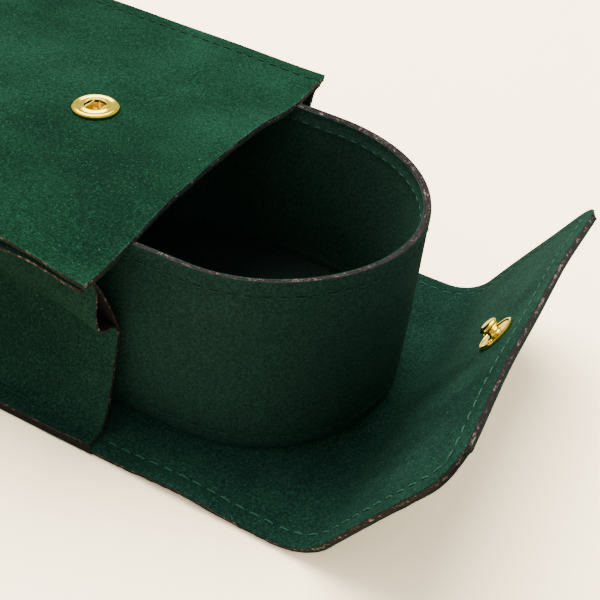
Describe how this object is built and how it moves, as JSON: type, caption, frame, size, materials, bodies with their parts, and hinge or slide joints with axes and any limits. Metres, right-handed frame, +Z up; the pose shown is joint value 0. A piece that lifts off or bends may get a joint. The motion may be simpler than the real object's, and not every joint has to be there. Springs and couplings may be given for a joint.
{
  "type": "travel jewelry case",
  "caption": "Suede travel case: a flat sleeve with a sliding oval cup and a long fold-over flap that closes with a ring snap.",
  "frame": {"origin": "middle of the sleeve's underside", "axes": "+Z up, -Y out of the mouth towards the flap, +X to the right of someone looking into the mouth"},
  "size_m": [0.115, 0.2029, 0.0592],
  "materials": {
    "suede": "matte napped green suede",
    "lining_suede": "matte napped dark green suede",
    "board": "plain stiffener board",
    "core": "dark fibrous interlining",
    "thread": "green sewing thread",
    "brass": "polished gold plate",
    "spring_wire": "drawn wire"
  },
  "bodies": {
    "case": {"wrap_suede": "suede", "wrap_lining": "lining_suede", "top_board": "board", "bottom_board": "board", "back_board": "board", "left_gusset_lining": "lining_suede", "left_gusset_suede": "suede", "right_gusset_lining": "lining_suede", "right_gusset_suede": "suede", "top_left_seam_thread": "thread", "top_right_seam_thread": "thread", "bottom_left_seam_thread": "thread", "bottom_right_seam_thread": "thread", "snap_socket_ring": "brass", "snap_socket_spring": "spring_wire", "snap_socket_backing": "brass"},
    "cup": {"cup_wall_suede": "suede", "cup_wall_stiffener": "core", "cup_wall_lining": "lining_suede", "cup_bottom_suede": "suede", "cup_bottom_board": "board", "cup_bottom_lining": "lining_suede", "cup_rim_thread": "thread", "cup_bottom_thread": "thread"},
    "flap_front": {"flap_front_lining": "suede", "flap_front_core": "core", "flap_front_suede": "suede", "flap_front_thread": "thread"},
    "flap_tip": {"flap_tip_lining": "suede", "flap_tip_core": "core", "flap_tip_suede": "suede", "flap_tip_thread": "thread", "snap_stud": "brass", "snap_stud_cap": "brass"}
  },
  "joints": [
    {"name": "flap_front_fold", "type": "hinge", "parent": "case", "child": "flap_front", "pos_m": [0, -0.0583, 0.002], "axis": [-1, 0, 0], "range_deg": [0, 90], "deforming": ["flap_front_lining", "flap_front_core", "flap_front_suede", "flap_front_thread"]},
    {"name": "cup_slide", "type": "slide", "parent": "case", "child": "cup", "axis": [0, 1, 0], "range_m": [0, 0.0553]},
    {"name": "flap_tip_fold", "type": "hinge", "parent": "flap_front", "child": "flap_tip", "pos_m": [0, -0.1169, 0.002], "axis": [-1, 0, 0], "range_deg": [-60.5, 29.5], "deforming": ["snap_socket_spring"]}
  ],
  "couplings": [
    {"joint": "cup_slide", "follows": "flap_front_fold", "m_per_rad": 0.035141}
  ]
}
